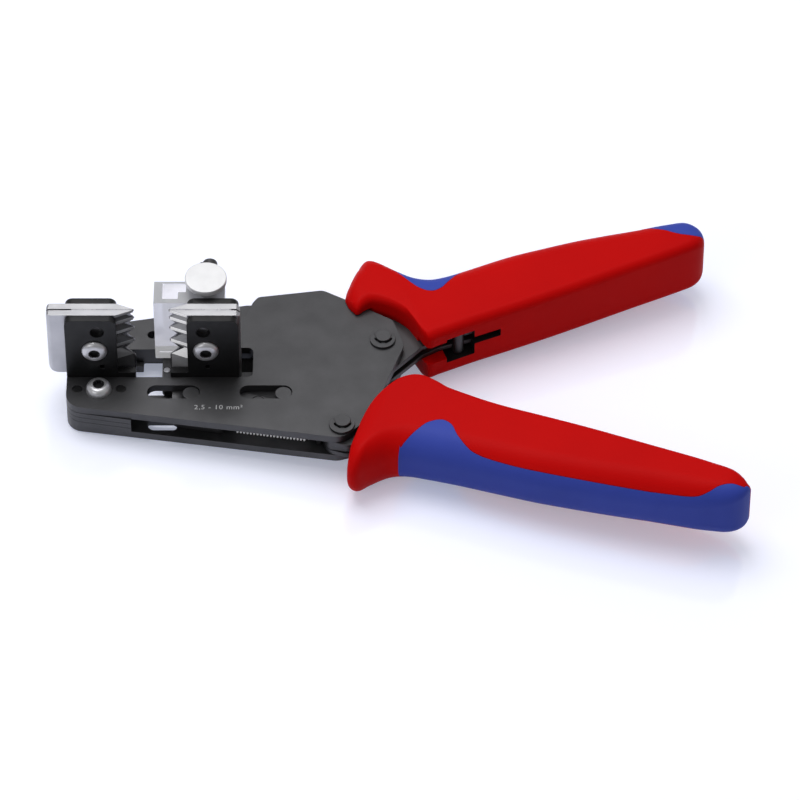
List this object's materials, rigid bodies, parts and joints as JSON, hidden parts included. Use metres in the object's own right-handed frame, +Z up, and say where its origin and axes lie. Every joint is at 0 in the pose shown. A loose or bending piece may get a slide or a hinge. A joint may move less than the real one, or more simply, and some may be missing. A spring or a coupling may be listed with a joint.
{
  "type": "wire stripper",
  "caption": "Hand-held precision wire stripper with toothed blade jaws on a plate frame, a sliding jaw, a length stop and two-colour pivoting grips.",
  "frame": {"origin": "middle of the open tool's footprint, on the plane that the undersides of both grips lie on", "axes": "+X from the jaws to the grip ends, +Y from the lower to the upper handle, +Z up through the plate stack towards the jaw tops"},
  "size_m": [0.1956, 0.1078, 0.0399],
  "materials": {
    "burnished_steel": "black burnished, satin",
    "ground_steel": "ground, bright",
    "hardened_steel": "hardened and ground",
    "plated_steel": "bright nickel plated",
    "clear_plastic": "clear, slightly frosted polycarbonate",
    "white_plastic": "matt white",
    "red_plastic": "fine grained satin red",
    "blue_soft_plastic": "soft-touch matt blue"
  },
  "bodies": {
    "frame": {"top_side_plate": "burnished_steel", "bottom_side_plate": "burnished_steel", "nose_spacer_pack": "burnished_steel", "back_strip": "burnished_steel", "frame_screw": "plated_steel", "frame_dowels": "burnished_steel", "upper_pivot_bolt": "burnished_steel", "lower_pivot_bolt": "burnished_steel", "retaining_rings": "burnished_steel", "fixed_jaw_front_plate": "burnished_steel", "fixed_jaw_back_plate": "burnished_steel", "fixed_profile_plate_front": "ground_steel", "fixed_profile_plate_back": "ground_steel", "fixed_blade": "hardened_steel", "fixed_jaw_screw": "plated_steel", "frame_spring_pin": "ground_steel", "return_spring": "hardened_steel"},
    "carriage": {"carriage_top_plate": "burnished_steel", "carriage_bottom_plate": "burnished_steel", "carriage_core": "burnished_steel", "guide_pins": "ground_steel", "carriage_stud": "ground_steel", "carriage_spring_pin": "ground_steel", "moving_jaw_front_plate": "burnished_steel", "moving_jaw_back_plate": "burnished_steel", "moving_profile_plate_front": "ground_steel", "moving_profile_plate_back": "ground_steel", "moving_blade": "hardened_steel", "moving_jaw_screw": "plated_steel", "stop_rod": "burnished_steel"},
    "length_stop": {"length_stop": "clear_plastic"},
    "stop_knob": {"stop_knob": "white_plastic"},
    "upper_handle": {"upper_tang_plates": "burnished_steel", "window_pin": "ground_steel", "link_pin": "ground_steel", "upper_grip_shell": "red_plastic", "upper_grip_inlay": "blue_soft_plastic"},
    "lower_handle": {"lower_lever": "burnished_steel", "lower_tang_cheeks": "burnished_steel", "drive_pin": "ground_steel", "lower_grip_shell": "red_plastic", "lower_grip_inlay": "blue_soft_plastic"}
  },
  "joints": [
    {"name": "upper_handle_pivot", "type": "hinge", "parent": "frame", "child": "upper_handle", "pos_m": [-0.0038, 0.00903, 0.0095], "axis": [0, 0, -1], "range_deg": [0, 18], "stiffness_Nm_per_rad": 0.3, "springref_deg": -5.73},
    {"name": "lower_handle_pivot", "type": "hinge", "parent": "frame", "child": "lower_handle", "pos_m": [-0.0151, -0.02337, 0.0095], "axis": [0, 0, 1], "range_deg": [0, 18]},
    {"name": "carriage_slide", "type": "slide", "parent": "frame", "child": "carriage", "axis": [-1, 0, 0], "range_m": [0, 0.0094], "deforming": ["return_spring"]},
    {"name": "stop_slide", "type": "slide", "parent": "carriage", "child": "length_stop", "axis": [0, 1, 0], "range_m": [0, 0.009]},
    {"name": "knob_turn", "type": "hinge", "parent": "length_stop", "child": "stop_knob", "pos_m": [-0.0534, 0.00873, 0.0375], "axis": [0, 0, 1], "range_deg": [0, 180]}
  ],
  "couplings": [
    {"joint": "lower_handle_pivot", "follows": "upper_handle_pivot", "ratio": 1},
    {"joint": "carriage_slide", "follows": "upper_handle_pivot", "m_per_rad": 0.02992}
  ]
}
